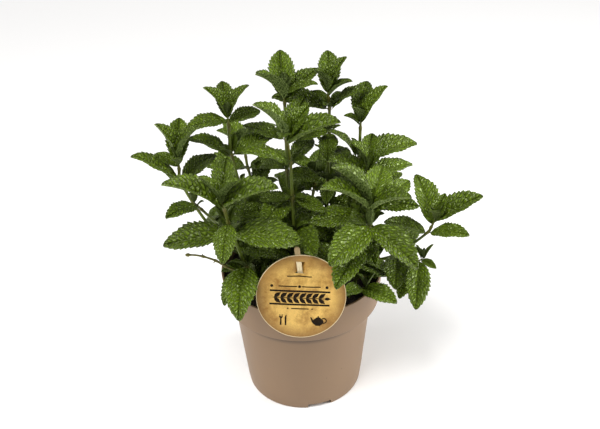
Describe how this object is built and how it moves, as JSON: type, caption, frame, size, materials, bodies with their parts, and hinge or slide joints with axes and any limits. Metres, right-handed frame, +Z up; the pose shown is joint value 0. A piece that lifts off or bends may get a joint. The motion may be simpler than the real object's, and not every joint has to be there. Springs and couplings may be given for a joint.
{
  "type": "potted mint plant",
  "caption": "Leafy mint plant growing in a tapered nursery pot of peat, with a round card label woven on a flat stick at the front.",
  "frame": {"origin": "middle of the pot's flat underside, which stands on a table", "axes": "+Z up, -Y to the front where the label is, +X to the right as seen from the front"},
  "size_m": [0.2635, 0.1802, 0.2772],
  "materials": {
    "taupe_plastic": "smooth recycled plastic, satin-matte, with fine dark specks",
    "peat": "moist crumbly peat, nearly black",
    "kraft_card": "golden kraft card, uncoated, printed black, with a pale cut edge",
    "pale_wood": "bare sanded birch",
    "mint_stem": "green square stem, reddish brown near the nodes, satin",
    "young_mint_leaf": "young leaf, wrinkled by its veins, soft gloss",
    "mint_leaf": "grown leaf, wrinkled by its veins, soft gloss",
    "dry_twig": "dry brown-green twig, matt"
  },
  "bodies": {
    "root": {"crown_a": "young_mint_leaf", "crown_b": "young_mint_leaf", "crown_c": "young_mint_leaf", "crown_d": "young_mint_leaf", "crown_e": "young_mint_leaf", "crown_f": "young_mint_leaf", "crown_g": "young_mint_leaf", "crown_h": "young_mint_leaf", "crown_j": "young_mint_leaf", "crown_k": "young_mint_leaf", "crown_l": "young_mint_leaf", "crown_m": "young_mint_leaf", "crown_n": "young_mint_leaf", "crown_o": "young_mint_leaf", "crown_p": "young_mint_leaf", "crown_q": "young_mint_leaf", "label_card": "kraft_card", "label_stick": "pale_wood", "leaf_pair_a1": "mint_leaf", "leaf_pair_a2": "mint_leaf", "leaf_pair_b1": "mint_leaf", "leaf_pair_b2": "mint_leaf", "leaf_pair_b3": "mint_leaf", "leaf_pair_c1": "mint_leaf", "leaf_pair_c2": "mint_leaf", "leaf_pair_d1": "mint_leaf", "leaf_pair_d2": "mint_leaf", "leaf_pair_e1": "mint_leaf", "leaf_pair_f1": "mint_leaf", "leaf_pair_f2": "mint_leaf", "leaf_pair_g1": "mint_leaf", "leaf_pair_g2": "mint_leaf", "leaf_pair_g3": "mint_leaf", "leaf_pair_j1": "mint_leaf", "leaf_pair_k1": "mint_leaf", "leaf_pair_k2": "mint_leaf", "leaf_pair_l1": "mint_leaf", "leaf_pair_l2": "mint_leaf", "leaf_pair_n1": "mint_leaf", "leaf_pair_o1": "mint_leaf", "leaf_pair_p1": "mint_leaf", "pot": "taupe_plastic", "soil": "peat", "stem_a": "mint_stem", "stem_b": "mint_stem", "stem_c": "mint_stem", "stem_d": "mint_stem", "stem_e": "mint_stem", "stem_f": "mint_stem", "stem_g": "mint_stem", "stem_h": "mint_stem", "stem_j": "mint_stem", "stem_k": "mint_stem", "stem_l": "mint_stem", "stem_m": "mint_stem", "stem_n": "mint_stem", "stem_o": "mint_stem", "stem_p": "mint_stem", "stem_q": "mint_stem", "twig": "dry_twig"}
  },
  "joints": []
}
